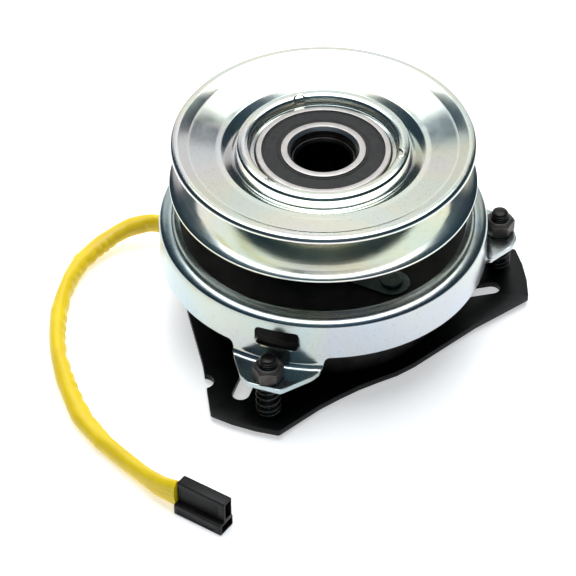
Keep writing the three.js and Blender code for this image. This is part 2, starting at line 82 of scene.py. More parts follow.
def make_camera():
    elevation = math.radians(41.866)
    distance = 1.6
    target = Vector((-0.0165, 0, 0.0076))
    data = bpy.data.cameras.new("camera")
    data.lens = 211.8
    data.sensor_width = 36
    camera = add_object("camera", data)
    camera.location = target + distance * Vector((0, -math.cos(elevation), math.sin(elevation)))
    aim(camera, target, roll=-0.348)
    bpy.context.scene.camera = camera


def softbox(name, location, size, power, mirrored=True):
    """A rectangular studio light that faces the clutch. Unless mirrored, shiny faces do not show it."""
    data = bpy.data.lights.new(name, "AREA")
    data.shape = "RECTANGLE"
    data.size, data.size_y = size
    data.energy = power
    light = add_object(name, data)
    light.location = location
    light.visible_glossy = mirrored
    aim(light, (0, 0, 0.05))


class Nodes:
    """A node tree and ways to add to it."""

    def __init__(self, tree):
        self.tree = tree

    def node(self, kind, **settings):
        made = self.tree.nodes.new(kind)
        for key, value in settings.items():
            setattr(made, key, value)
        return made

    def feed(self, socket, value):
        """Links an output to a socket, or sets the socket to a value."""
        if isinstance(value, bpy.types.NodeSocket):
            self.tree.links.new(value, socket)
        else:
            socket.default_value = value

    def maths(self, operation, *values, kind="ShaderNodeMath"):
        made = self.node(kind, operation=operation)
        for socket, value in zip(made.inputs, values):
            self.feed(socket, value)
        return made.outputs[0]

    def split(self, vector):
        made = self.node("ShaderNodeSeparateXYZ")
        self.feed(made.inputs[0], vector)
        return made.outputs

    def fade(self, value, start, end):
        """0 at start, 1 at end, eased."""
        made = self.node("ShaderNodeMapRange", interpolation_type="SMOOTHSTEP")
        for socket, number in (("Value", value), ("From Min", start), ("From Max", end)):
            self.feed(made.inputs[socket], number)
        return made.outputs[0]


def make_sky(tree):
    """Light from above, a pale wall behind, and dark surroundings to the sides and behind the camera."""
    sky = Nodes(tree)
    maths, fade = sky.maths, sky.fade
    across, back, height = sky.split(sky.node("ShaderNodeTexCoord").outputs["Generated"])
    aside = maths("ABSOLUTE", across)
    lean = maths("MAXIMUM", maths("SUBTRACT", height, 0.5), 0.0)
    edge = maths("ADD", aside, maths("MULTIPLY", lean, 2.7))
    wall = maths("MULTIPLY", fade(edge, 0.57, 0.47), fade(back, 0.30, 0.50))
    middle = maths("MULTIPLY", wall, fade(aside, 0.2, 0.03))
    above = maths("ADD", maths("MULTIPLY", back, 0.26), maths("MULTIPLY", height, 0.966))
    total = (0.020, 0.040, 0.060)
    for share, colour in (
        (wall, (0.80, 0.785, 0.75)),
        (middle, (0.16, 0.155, 0.14)),
        (fade(above, 0.855, 0.90), (3.5, 3.55, 3.6)),
        (fade(height, 0.08, 0.0), (0.30, 0.33, 0.36)),
        (fade(maths("SUBTRACT", height, aside), -0.2, 0.6), (0.07, 0.10, 0.12)),
    ):
        total = maths("MULTIPLY_ADD", share, colour, total, kind="ShaderNodeVectorMath")
    return total


def make_studio():
    """A pale floor under a soft sky, with two softboxes: one for small highlights, and one that shiny faces
    do not show.
    """
    scene = bpy.context.scene
    scene.view_settings.view_transform = "Standard"
    world = bpy.data.worlds.new("studio")
    world.use_nodes = True
    scene.world = world
    tree = world.node_tree
    tree.links.new(make_sky(tree), tree.nodes["Background"].inputs["Color"])

    softbox("back_softbox", (0.1, 1.2, 1.0), (0.6, 0.6), 9.0, mirrored=False)
    softbox("top_softbox", (-0.1, 0.25, 1.4), (0.35, 0.35), 1.0)

    half = 4.0
    floor = mesh_object("floor", [(-half, -half, 0), (half, -half, 0), (half, half, 0), (-half, half, 0)],
                        [(0, 1, 2, 3)], floor_paper())


# ---------------------------------------------------------------- shader helpers
class Finish(Nodes):
    """A Principled material and the few patterns that the finishes share."""

    def __init__(self, name, metallic=0.0, roughness=0.4, **sockets):
        self.material = bpy.data.materials.new(name)
        self.material.use_nodes = True
        super().__init__(self.material.node_tree)
        self.shader = self.tree.nodes["Principled BSDF"]
        for socket, value in {"Metallic": metallic, "Roughness": roughness, **sockets}.items():
            self.shader.inputs[socket.replace("_", " ")].default_value = value
        self.place = self.node("ShaderNodeTexCoord").outputs["Object"]

    def noise(self, scale, detail=3.0, where=None, distortion=0.0):
        made = self.node("ShaderNodeTexNoise")
        sockets = {"Scale": scale, "Detail": detail, "Distortion": distortion, "Vector": where or self.place}
        for socket, value in sockets.items():
            self.feed(made.inputs[socket], value)
        return made.outputs["Fac"]

    def radial(self):
        """Distance from the crankshaft axis and height, as a vector that is the same all round."""
        x, y, z = self.split(self.place)
        squares = [self.maths("MULTIPLY", side, side) for side in (x, y)]
        joined = self.node("ShaderNodeCombineXYZ")
        self.feed(joined.inputs["X"], self.maths("SQRT", self.maths("ADD", *squares)))
        self.feed(joined.inputs["Z"], z)
        return joined.outputs[0]

    def edges(self, radius, strength=6.0):
        """1 or more on sharp edges and 0 on open faces."""
        bevel = self.node("ShaderNodeBevel", samples=4)
        bevel.inputs["Radius"].default_value = radius * MM
        dot = self.node("ShaderNodeVectorMath", operation="DOT_PRODUCT")
        self.feed(dot.inputs[0], bevel.outputs[0])
        self.feed(dot.inputs[1], self.node("ShaderNodeNewGeometry").outputs["Normal"])
        return self.maths("MULTIPLY", self.maths("SUBTRACT", 1.0, dot.outputs["Value"]), strength)

    def colours(self, factor, stops):
        ramp = self.node("ShaderNodeValToRGB")
        elements = ramp.color_ramp.elements
        while len(elements) < len(stops):
            elements.new(0.5)
        for element, (position, colour) in zip(elements, stops):
            element.position = position
            element.color = (*colour, 1)
        self.feed(ramp.inputs[0], factor)
        return ramp.outputs["Color"]

    def mixed(self, factor, first, second, blend="MIX"):
        mix = self.node("ShaderNodeMix", data_type="RGBA", blend_type=blend)
        sockets = (mix.inputs["Factor"], mix.inputs[6], mix.inputs[7])
        for socket, value in zip(sockets, (factor, first, second)):
            self.feed(socket, (*value, 1) if isinstance(value, tuple) else value)
        return mix.outputs[2]

    def base(self, colour):
        self.feed(self.shader.inputs["Base Color"], colour)

    def rough(self, factor, low, high):
        spread = self.node("ShaderNodeMapRange")
        for socket, value in (("Value", factor), ("To Min", low), ("To Max", high)):
            self.feed(spread.inputs[socket], value)
        self.feed(self.shader.inputs["Roughness"], spread.outputs[0])

    def bump(self, *heights, distance=0.05):
        """heights are (pattern, strength) pairs, one laid over the other."""
        normal = None
        for height, strength in heights:
            made = self.node("ShaderNodeBump")
            made.inputs["Strength"].default_value = strength
            made.inputs["Distance"].default_value = distance * MM
            self.feed(made.inputs["Height"], height)
            if normal:
                self.feed(made.inputs["Normal"], normal)
            normal = made.outputs["Normal"]
        self.feed(self.shader.inputs["Normal"], normal)


# ---------------------------------------------------------------- finishes
def floor_paper():
    """A white sheet that falls off to grey well away from the clutch, a painted fall-off of light, and glows
    with painted light that keeps its shade near white.
    """
    paper = Finish("floor_paper", roughness=0.9, Emission_Strength=0.6)
    fibres = paper.colours(paper.noise(3.0), [(0.3, (0.84, 0.84, 0.84)), (0.7, (0.86, 0.86, 0.86))])
    distance = paper.split(paper.radial())["X"]
    # Painted fall-off of light: the colour, and the glow with it, goes from white near the clutch to
    # blue-grey far away.
    painted_light_falloff = paper.colours(distance, [(0.42, (1.0, 1.0, 1.0)), (0.95, (0.16, 0.20, 0.24))])
    colour = paper.mixed(1.0, fibres, painted_light_falloff, "MULTIPLY")
    paper.base(colour)
    paper.feed(paper.shader.inputs["Emission Color"], colour)
    return paper.material


# Shifts of the zinc's colour through its bloom, as (place, factors) pairs.
BLOOM = ((0.30, (0.93, 1.0, 1.02)), (0.44, (0.98, 1.02, 0.96)), (0.52, (1.05, 1.02, 0.90)),
         (0.60, (1.04, 0.97, 0.98)), (0.72, (0.98, 0.99, 1.05)))


def zinc(name, colour=(0.72, 0.735, 0.71), turned=True, roughness=(0.10, 0.20)):
    """Bright zinc plate: a faint yellow, pink and green bloom over fine spinning lines."""
    plate = Finish(name, metallic=1.0)
    bloom = [(place, [c * f for c, f in zip(colour, factors)]) for place, factors in BLOOM]
    tint = plate.colours(plate.noise(16.0, 2.0, distortion=0.6), bloom)
    spots = plate.colours(plate.noise(900.0, 2.0), [(0.28, (0.55, 0.56, 0.56)), (0.40, (1, 1, 1))])
    plate.base(plate.mixed(0.35, tint, spots, "MULTIPLY"))
    if turned:
        lines = plate.noise(2600.0, 1.0, where=plate.radial())
        plate.shader.inputs["Anisotropic"].default_value = 0.45
        plate.feed(plate.shader.inputs["Tangent"], plate.node("ShaderNodeTangent", axis="Z").outputs[0])
    else:
        lines = plate.noise(420.0, 3.0)
    plate.rough(plate.noise(140.0, 4.0), *roughness)
    plate.bump((lines, 0.10), (plate.noise(60.0, 2.0), 0.25), distance=0.12)
    return plate.material


def steel(name, colours, roughness, metallic=1.0, grain=1500.0, turned=False, edge=None, bump=0.2):
    """Bare or black steel: mottled colour, uneven gloss, fine grain and lighter edges, which are rubbed wear
    and, on the stud, painted highlights on the thread crests.
    """
    metal = Finish(name, metallic=metallic)
    mottled = metal.colours(metal.noise(170.0, 4.0), [(0.35, colours[0]), (0.65, colours[1])])
    if edge:
        mottled = metal.mixed(metal.edges(0.35), mottled, edge)
    metal.base(mottled)
    metal.rough(metal.noise(330.0, 4.0), *roughness)
    fine = metal.noise(grain, 2.0, where=metal.radial() if turned else None)
    metal.bump((fine, bump), distance=0.05)
    return metal.material


def e_coat():
    """Black electrodeposited paint: satin, with a little orange peel, dust and thin edges."""
    paint = Finish("e_coat", roughness=0.35, Specular_IOR_Level=0.16)
    dust = paint.colours(paint.noise(75.0, 5.0), [(0.45, (0.0025, 0.0025, 0.0027)),
                                                  (0.75, (0.0065, 0.0065, 0.0065))])
    paint.base(paint.mixed(paint.edges(0.5, 3.0), dust, (0.030, 0.030, 0.032)))
    paint.rough(paint.noise(120.0, 4.0), 0.28, 0.46)
    paint.bump((paint.noise(700.0, 2.0), 0.12), distance=0.08)
    return paint.material


def rubber(name, colours, roughness=(0.6, 0.8), turned=False):
    skin = Finish(name)
    skin.base(skin.colours(skin.noise(400.0, 4.0), [(0.3, colours[0]), (0.7, colours[1])]))
    skin.rough(skin.noise(250.0, 3.0), *roughness)
    lines = skin.noise(1800.0, 1.0, where=skin.radial()) if turned else skin.noise(900.0, 2.0)
    skin.bump((skin.noise(1600.0, 2.0), 0.3), (lines, 0.15), distance=0.08)
    return skin.material


def yellow_vinyl():
    """Soft, slightly waxy sleeve vinyl, darker where it has been handled."""
    vinyl = Finish("yellow_vinyl", Subsurface_Weight=0.15, Subsurface_Scale=0.002)
    vinyl.shader.inputs["Subsurface Radius"].default_value = (1.0, 0.7, 0.1)
    vinyl.base(vinyl.colours(vinyl.noise(55.0, 5.0), [
        (0.30, (0.80, 0.56, 0.010)), (0.55, (0.88, 0.64, 0.008)), (0.75, (0.92, 0.68, 0.012)),
    ]))
    vinyl.rough(vinyl.noise(200.0, 4.0), 0.32, 0.52)
    vinyl.bump((vinyl.noise(450.0, 3.0), 0.25), (vinyl.noise(110.0, 2.0), 0.3), distance=0.25)
    return vinyl.material


def moulded(name, colours, roughness=(0.32, 0.5), gloss=0.5):
    """Moulded nylon with a fine sparked texture."""
    plastic = Finish(name, Specular_IOR_Level=gloss)
    body = plastic.colours(plastic.noise(120.0, 4.0), [(0.35, colours[0]), (0.7, colours[1])])
    # Sharp edges are lighter: painted highlights along the rims.
    plastic.base(plastic.mixed(plastic.edges(0.3, 4.0), body, colours[2]))
    plastic.rough(plastic.noise(300.0, 3.0), *roughness)
    plastic.bump((plastic.noise(1400.0, 2.0), 0.2), distance=0.06)
    return plastic.material


def wound_copper():
    """Enamelled wire laid in rows."""
    wire = Finish("wound_copper", metallic=0.85)
    rows = wire.node("ShaderNodeTexWave", bands_direction="Z")
    for socket, value in (("Scale", 220.0), ("Distortion", 0.4), ("Vector", wire.place)):
        wire.feed(rows.inputs[socket], value)
    wire.base(wire.colours(rows.outputs["Fac"], [(0.2, (0.20, 0.06, 0.02)), (0.8, (0.62, 0.24, 0.09))]))
    wire.rough(wire.noise(500.0), 0.25, 0.4)
    wire.bump((rows.outputs["Fac"], 0.8), distance=0.2)
    return wire.material


FINISHES = {}


def make_finishes():
    return {
        "zinc": zinc("zinc_spun"),
        # The pressed ring's zinc is a darker, bluer copy of the spun zinc: painted shade and a painted blue
        # reflection.
        "zinc_pressed_painted_shade": zinc("zinc_pressed_painted_shade", (0.475, 0.53, 0.555), turned=False, roughness=(0.13, 0.26)),
        "e_coat": e_coat(),
        "dark_steel": steel("dark_steel", [(0.012, 0.011, 0.010), (0.030, 0.027, 0.025)], (0.38, 0.55),
                            metallic=0.6, edge=(0.10, 0.10, 0.10)),
        "armature": steel("armature_steel", [(0.010, 0.009, 0.009), (0.022, 0.019, 0.018)], (0.35, 0.5),
                          metallic=0.5, turned=True, edge=(0.08, 0.08, 0.08)),
        "phosphate": steel("phosphate", [(0.050, 0.043, 0.039), (0.095, 0.084, 0.077)], (0.38, 0.56),
                           metallic=0.7, grain=700.0, edge=(0.34, 0.32, 0.30), bump=0.5),
        "insert": rubber("nut_insert", [(0.01, 0.01, 0.01), (0.02, 0.02, 0.02)]),
        # The stud's light edge colour is a painted highlight on its thread crests.
        "stud": steel("stud_steel", [(0.012, 0.011, 0.010), (0.035, 0.031, 0.028)], (0.24, 0.38),
                      metallic=0.8, edge=(0.45, 0.42, 0.40)),
        "spring": steel("spring_steel", [(0.030, 0.029, 0.029), (0.060, 0.058, 0.057)], (0.2, 0.32),
                        metallic=0.9),
        "leaf": steel("leaf_steel", [(0.12, 0.155, 0.15), (0.17, 0.21, 0.205)], (0.3, 0.42),
                      edge=(0.5, 0.5, 0.5)),
        "bearing": steel("bearing_steel", [(0.44, 0.41, 0.395), (0.51, 0.48, 0.46)], (0.24, 0.36),
                         turned=True, bump=0.35),
        "hub": steel("hub_steel", [(0.028, 0.023, 0.020), (0.06, 0.05, 0.045)], (0.24, 0.38),
                     turned=True, edge=(0.6, 0.58, 0.56)),
        "seal": rubber("seal_rubber", [(0.012, 0.0112, 0.011), (0.020, 0.0187, 0.018)], turned=True),
        "grommet": rubber("grommet_rubber", [(0.012, 0.012, 0.012), (0.022, 0.022, 0.022)]),
        "copper": wound_copper(),
        "bobbin": moulded("bobbin_nylon", [(0.55, 0.52, 0.42), (0.66, 0.63, 0.53), (0.75, 0.72, 0.64)]),
        "potting": moulded("potting_epoxy", [(0.012, 0.012, 0.013), (0.025, 0.025, 0.026),
                                             (0.05, 0.05, 0.05)]),
        "yellow": yellow_vinyl(),
        "nylon": moulded("connector_nylon", [(0.0045, 0.0042, 0.0040), (0.009, 0.0085, 0.008),
                                             (0.045, 0.044, 0.043)], gloss=0.22),
        "brass": steel("terminal_brass", [(0.62, 0.52, 0.28), (0.74, 0.66, 0.42)], (0.25, 0.4)),
        # The rivets' zinc is darkened to a dark teal: painted shade and a painted dark reflection.
        "rivet": zinc("rivet_zinc_painted_shade", (0.15, 0.20, 0.20), turned=False, roughness=(0.16, 0.28)),
    }


# ---------------------------------------------------------------- outlines
def polar(radius, degrees):
    angle = math.radians(degrees)
    return radius * math.cos(angle), radius * math.sin(angle)


def arc(x, y, radius, start, end, steps):
    """Points of an arc about (x, y), end points included."""
    turns = [start + (end - start) * i / steps for i in range(steps + 1)]
    return [(x + polar(radius, turn)[0], y + polar(radius, turn)[1]) for turn in turns]


def rounded(points, radius, steps=4):
    """A closed outline with its corners rounded. Slight turns, as between points of an arc, stay."""
    slight = math.radians(14)
    result = []
    for i, point in enumerate(points):
        here = Vector(point)
        before = Vector(points[i - 1]) - here
        after = Vector(points[(i + 1) % len(points)]) - here
        turn = math.pi - before.angle(after)
        if turn < slight:
            result.append(here)
            continue
        reach = min(radius * math.tan(min(turn, 2.6) / 2), 0.45 * before.length, 0.45 * after.length)
        start = here + before.normalized() * reach
        end = here + after.normalized() * reach
        for step in range(steps + 1):
            t = step / steps
            result.append(start * (1 - t) ** 2 + here * 2 * t * (1 - t) + end * t ** 2)
    return result


# ---------------------------------------------------------------- meshes
def circle(radius, z, sides, centre=(0, 0)):
    turns = [2 * math.pi * k / sides for k in range(sides)]
    return [(centre[0] + radius * math.cos(a), centre[1] + radius * math.sin(a), z) for a in turns]


def mesh_object(name, points, faces, material, smooth=40.0):
    """A mesh object in metres. smooth is the angle above which an edge stays sharp."""
    mesh = bpy.data.meshes.new(name)
    mesh.from_pydata([tuple(p) for p in points], [], faces)
    mesh.materials.append(material)
    obj = add_object(name, mesh)
    tidy_mesh(obj, smooth)
    return obj


def tidy_mesh(obj, smooth=40.0, weld=1e-6):
    """Merges doubled points, points the faces outward and sets smooth shading."""
    made = bmesh.new()
    made.from_mesh(obj.data)
    bmesh.ops.remove_doubles(made, verts=made.verts, dist=weld)
    bmesh.ops.dissolve_degenerate(made, edges=made.edges, dist=weld / 10)
    bmesh.ops.recalc_face_normals(made, faces=made.faces)
    made.to_mesh(obj.data)
    made.free()
    obj.data.shade_smooth()
    obj.data.set_sharp_from_angle(angle=math.radians(smooth))


def grid(name, rows, material, around=True, along=False, smooth=40.0):
    """A skin over rows of points in millimetres, closed round each row, and end to end if along."""
    count, width = len(rows), len(rows[0])
    points = [Vector(p) * MM for row in rows for p in row]
    faces = []
    for i in range(count if along else count - 1):
        for j in range(width if around else width - 1):
            a, b = i * width, (i + 1) % count * width
            k = (j + 1) % width
            faces.append((a + j, a + k, b + k, b + j))
    if not along:
        faces.append(tuple(reversed(range(width))))
        faces.append(tuple(range((count - 1) * width, count * width)))
    return mesh_object(name, points, faces, material, smooth)


def revolve(name, section, material, sides=144, soften=0.3, smooth=40.0):
    """A solid of revolution from its closed half section, as (radius, height) pairs."""
    ring = rounded(section, soften)
    rows = []
    for i in range(sides):
        angle = 2 * math.pi * i / sides
        rows.append([(r * math.cos(angle), r * math.sin(angle), z) for r, z in ring])
    return grid(name, rows, material, along=True, smooth=smooth)


@contextmanager
def edited(obj):
    """A piece's mesh, open for editing and tidied afterwards."""
    made = bmesh.new()
    made.from_mesh(obj.data)
    yield made
    made.to_mesh(obj.data)
    made.free()
    tidy_mesh(obj)


def plate(name, outline, bottom, top, material, holes=(), edge=0.3):
    """A flat plate on an outline, with holes and rounded rims."""
    mesh = bpy.data.meshes.new(name)
    mesh.materials.append(material)
    obj = add_object(name, mesh)
    with edited(obj) as made:
        for ring in (outline, *holes):
            points = [made.verts.new((x * MM, y * MM, bottom * MM)) for x, y in ring]
            for i, point in enumerate(points):
                made.edges.new((points[i - 1], point))
        filled = bmesh.ops.triangle_fill(made, use_beauty=True, use_dissolve=False, edges=made.edges)
        faces = [item for item in filled["geom"] if isinstance(item, bmesh.types.BMFace)]
        lifted = bmesh.ops.extrude_face_region(made, geom=faces, use_keep_orig=True)
        raised = [item for item in lifted["geom"] if isinstance(item, bmesh.types.BMVert)]
        bmesh.ops.translate(made, verts=raised, vec=(0, 0, (top - bottom) * MM))
        bmesh.ops.recalc_face_normals(made, faces=made.faces)
        rims = [e for e in made.edges if len(e.link_faces) == 2 and e.calc_face_angle() > 1.2
                and abs(e.verts[0].co.z - e.verts[1].co.z) < 1e-7]
        bevel(made, rims, edge, 3)
    return obj


def combine(obj, tools, operation="DIFFERENCE", smooth=40.0):
    """Cuts tools out of a piece or joins them to it, and removes them."""
    for tool in tools:
        modifier = obj.modifiers.new("combine", "BOOLEAN")
        modifier.operation = operation
        modifier.solver = "EXACT"
        modifier.object = tool
    evaluated = obj.evaluated_get(bpy.context.evaluated_depsgraph_get())
    mesh = bpy.data.meshes.new_from_object(evaluated)
    obj.modifiers.clear()
    obj.data = mesh
    for tool in tools:
        bpy.data.objects.remove(tool)
    tidy_mesh(obj, smooth)


def bevel(made, edges, width, segments):
    bmesh.ops.bevel(made, geom=edges, offset=width * MM, segments=segments, profile=0.5,
                    affect="EDGES", clamp_overlap=True)


def soften_edges(obj, width, angle, where):
    """Rounds a piece's sharp edges whose middle passes the test where, in millimetres."""
    with edited(obj) as made:
        sharp = [e for e in made.edges if len(e.link_faces) == 2
                 and e.calc_face_angle() > math.radians(angle)
                 and where((e.verts[0].co + e.verts[1].co) / 2 / MM)]
        bevel(made, sharp, width, 2)


def drill(spot, radius, bottom, top, sides=48):
    """A round cutter at a spot."""
    rows = [[(spot[0] + x, spot[1] + y, z) for x, y in arc(0, 0, radius, 0, 360 - 360 / sides, sides - 1)]
            for z in (bottom, top)]
    return grid("drill", rows, None)


def move(obj, matrix):
    obj.data.transform(matrix)
    return obj


def turned_to(obj, degrees, spot=(0, 0)):
    """A piece built about the crankshaft axis, turned and moved onto a spot."""
    shift = Matrix.Translation((spot[0] * MM, spot[1] * MM, 0))
    return move(obj, shift @ Matrix.Rotation(math.radians(degrees), 4, "Z"))


def stand_for(obj, body, slot, *nodes):
    """Puts a finished piece on its body in place of the CAD nodes that it shows."""
    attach(obj, body)
    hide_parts(*nodes)


# ---------------------------------------------------------------- lead
# The middle line of the sleeve, the same points as in the CAD source, in metres.
LEAD_ROUTE = [
    (-0.0476, 0.0259, 0.014), (-0.062, 0.0337, 0.0139), (-0.076, 0.0404, 0.013), (-0.087, 0.0432, 0.011),
    (-0.0965, 0.0404, 0.0085), (-0.1046, 0.035, 0.0064), (-0.1116, 0.0278, 0.005), (-0.117, 0.0184, 0.0046),
    (-0.121, 0.0068, 0.0046), (-0.1236, -0.0076, 0.0046), (-0.1245, -0.023, 0.0046),
    (-0.1235, -0.0388, 0.0046), (-0.1206, -0.0536, 0.0046), (-0.1161, -0.0691, 0.0046),
    (-0.110, -0.084, 0.0046), (-0.1016, -0.0978, 0.0046), (-0.0919, -0.1098, 0.0047),
    (-0.082, -0.121, 0.0054), (-0.0734, -0.1308, 0.0072), (-0.0658, -0.1366, 0.0086),
]
CONNECTOR_ANGLE = -34
CONNECTOR_BACK = (-65, -136.8)


def smooth_path(points, per_span):
    """Points along a Catmull-Rom curve through the given ones."""
    points = [Vector(p) for p in points]
    ends = [2 * points[0] - points[1], *points, 2 * points[-1] - points[-2]]
    path = []
    for i in range(1, len(ends) - 2):
        a, b, c, d = ends[i - 1:i + 3]
        for step in range(per_span):
            t = step / per_span
            path.append(0.5 * (2 * b + (c - a) * t + (2 * a - 5 * b + 4 * c - d) * t ** 2
                               + (3 * b - a - 3 * c + d) * t ** 3))
    path.append(points[-1])
    return path


def path_length(path):
    return sum((b - a).length for a, b in zip(path, path[1:]))


def bump_at(value, middle, width):
    """A smooth hump of height 1."""
    return math.exp(-((value - middle) / width) ** 2)


# Half width of the sleeve, in millimetres, along its length.
SLEEVE_WIDTHS = [
    (0, 3.5), (0.11, 3.5), (0.17, 4.2), (0.30, 4.35), (0.38, 3.8), (0.43, 3.45), (0.50, 3.8), (0.60, 3.7),
    (0.66, 4.1), (0.73, 4.5), (0.785, 4.3), (0.81, 3.8), (0.88, 3.8), (1.0, 3.7),
]
# How far its inner side is gathered into folds.
SLEEVE_GATHERS = [(0, 0.15), (0.20, 0.25), (0.28, 1.0), (0.62, 1.0), (0.76, 0.5), (0.82, 0.0), (1, 0.0)]
# Share of the length, width along it and height of the swellings on the outside of the curve.
SLEEVE_SWELLINGS = [(0.345, 0.012, 0.8), (0.49, 0.012, 0.4), (0.65, 0.012, 0.3), (0.735, 0.02, 0.35),
                    (0.797, 0.005, 0.4)]


def between(value, table):
    """A value from a table of (place, value) pairs, eased from one pair to the next."""
    for (low, first), (high, second) in zip(table, table[1:]):
        if value <= high:
            t = (value - low) / (high - low)
            return first + (second - first) * t * t * (3 - 2 * t)
    return table[-1][1]


def sleeve_radius(share, angle):
    """Half size of the sleeve, in millimetres: a share of its length and an angle round it.

    angle 0 points to the inside of the curve and 90 up.
    """
    flare = max(0.0, (share - 0.86) / 0.14) ** 2
    across = between(share, SLEEVE_WIDTHS)
    up = 8.3 - across + (2.4 if math.sin(angle) > 0 else 2.9) * flare
    radius = 1 / math.sqrt((math.cos(angle) / across) ** 2 + (math.sin(angle) / up) ** 2)
    inside, outside = max(0.0, math.cos(angle)), max(0.0, -math.cos(angle))
    wave = share / 0.0285 + 0.3 * math.sin(47 * share)
    gathered = between(share, SLEEVE_GATHERS)
    radius += 1.05 * gathered * (abs(math.sin(math.pi * wave)) - 0.45) * inside ** 3
    radius += 0.9 * inside * bump_at(share, 0.165, 0.022)
    for place, width, height in SLEEVE_SWELLINGS:
        radius += height * outside ** 2 * bump_at(share, place, width)
    return radius + 0.18 * flare * math.sin(13 * angle)


def lead_sleeve():
    path = smooth_path(LEAD_ROUTE, 18)
    sides = 48
    rows = []
    up = Vector((0, 0, 1))
    total = len(path) - 1
    for i, centre in enumerate(path):
        ahead = (path[min(i + 1, total)] - path[max(i - 1, 0)]).normalized()
        inward = up.cross(ahead).normalized()
        over = ahead.cross(inward)
        row = []
        for j in range(sides):
            angle = 2 * math.pi * j / sides
            radius = sleeve_radius(i / total, angle)
            ripple = noise.noise(Vector((i * 0.07, math.cos(angle) * 1.3, math.sin(angle) * 1.3)))
            radius += 0.22 * ripple
            point = centre / MM + radius * (math.cos(angle) * inward + math.sin(angle) * over)
            point.z = max(point.z, 0.12)
            row.append(point)
        rows.append(row)
    rows.append([point + 0.9 * ahead for point in rows[-1]])
    sleeve = grid("lead_sleeve_vinyl", rows, FINISHES["yellow"], smooth=60)
    stand_for(sleeve, "field", "yellow_sleeve", "lead_sleeve")
    return sleeve, path


def connector_block(name, outline, start, end, material, edge=0.5):
    """A prism along the connector from its (across, up) outline, with rounded ends."""
    rows = []
    for x, shrink in ((start, edge), (start + edge * 0.3, edge * 0.3), (start + edge, 0), (end - edge, 0),
                      (end - edge * 0.3, edge * 0.3), (end, edge)):
        low = [min(p[i] for p in outline) for i in (0, 1)]
        high = [max(p[i] for p in outline) for i in (0, 1)]
        middle = [(a + b) / 2 for a, b in zip(low, high)]
        scale = [1 - 2 * shrink / (b - a) for a, b in zip(low, high)]
        rows.append([(x, middle[0] + (y - middle[0]) * scale[0], middle[1] + (z - middle[1]) * scale[1])
                     for y, z in outline])
    return grid(name, rows, material)


def rectangle(y0, y1, z0, z1, radius):
    return rounded([(y0, z0), (y1, z0), (y1, z1), (y0, z1)], radius)


def make_lead():
    sleeve, path = lead_sleeve()
    length, height, ledge, near, upper = 25.4, 17.0, 6.0, -4.8, (-1.9, 4.1)
    wall = 0.9
    body = connector_block("connector_shell", rectangle(near, -near, 0, ledge, 0.7), 0, length,
                           FINISHES["nylon"])
    top = connector_block("top", rectangle(*upper, ledge - 1, height, 0.8), 0.02, length - 0.02,
                          FINISHES["nylon"])
    combine(body, [top], "UNION")
    combine(body, [connector_block("cutter", rectangle(*sides), start, end, None) for sides, start, end in (
        ((upper[0] + wall, upper[1] - wall, ledge + 1.2, height - wall, 0.4), 2.4, length + 3),
        ((near + wall, -near - wall, wall, ledge - wall, 0.4), 2.4, length + 3),
        ((upper[0] - 2, upper[0] + 0.45, ledge + 1.6, height - 2.2, 0.3), 1.6, length - 3.2),
        ((near - 2, near + 0.3, 1.3, ledge - 1.3, 0.3), 1.6, length - 3.2),
    )])
    pieces = [body]
    for number, (y, z, upright) in enumerate(((1.1, 11.6, True), (0.0, 3.0, False)), start=1):
        pieces.append(terminal(f"connector_receptacle_{number}", y, z, upright, FINISHES["brass"]))
    for piece in pieces:
        turned_to(piece, CONNECTOR_ANGLE, CONNECTOR_BACK)
    stand_for(body, "field", "connector_nylon", "connector_housing")
    for number, piece in enumerate(pieces[1:], start=1):
        stand_for(piece, "field", "terminal_brass", f"connector_terminal_{number}")
    round(path_length(path), 4)
    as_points(path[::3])


def terminal(name, y, z, upright, material):
    """A receptacle for a blade: a floor with both long edges rolled over."""
    half, lip = 2.9, 0.25
    side = [(half, -0.5), (half + 0.1, 0.2), (half - 0.3, 0.75), (half - 1.2, 0.78), (half - 1.5, lip),
            (half - 1.0, lip + 0.15), (half - 0.5, 0.1)]
    section = side + [(-u, v) for u, v in reversed(side)]
    outline = [(v, u) if upright else (u, v) for u, v in section]
    rows = [[(x, y + a, z + b) for a, b in outline] for x in (3.2, 19.8)]
    return grid(name, rows, material, smooth=30)


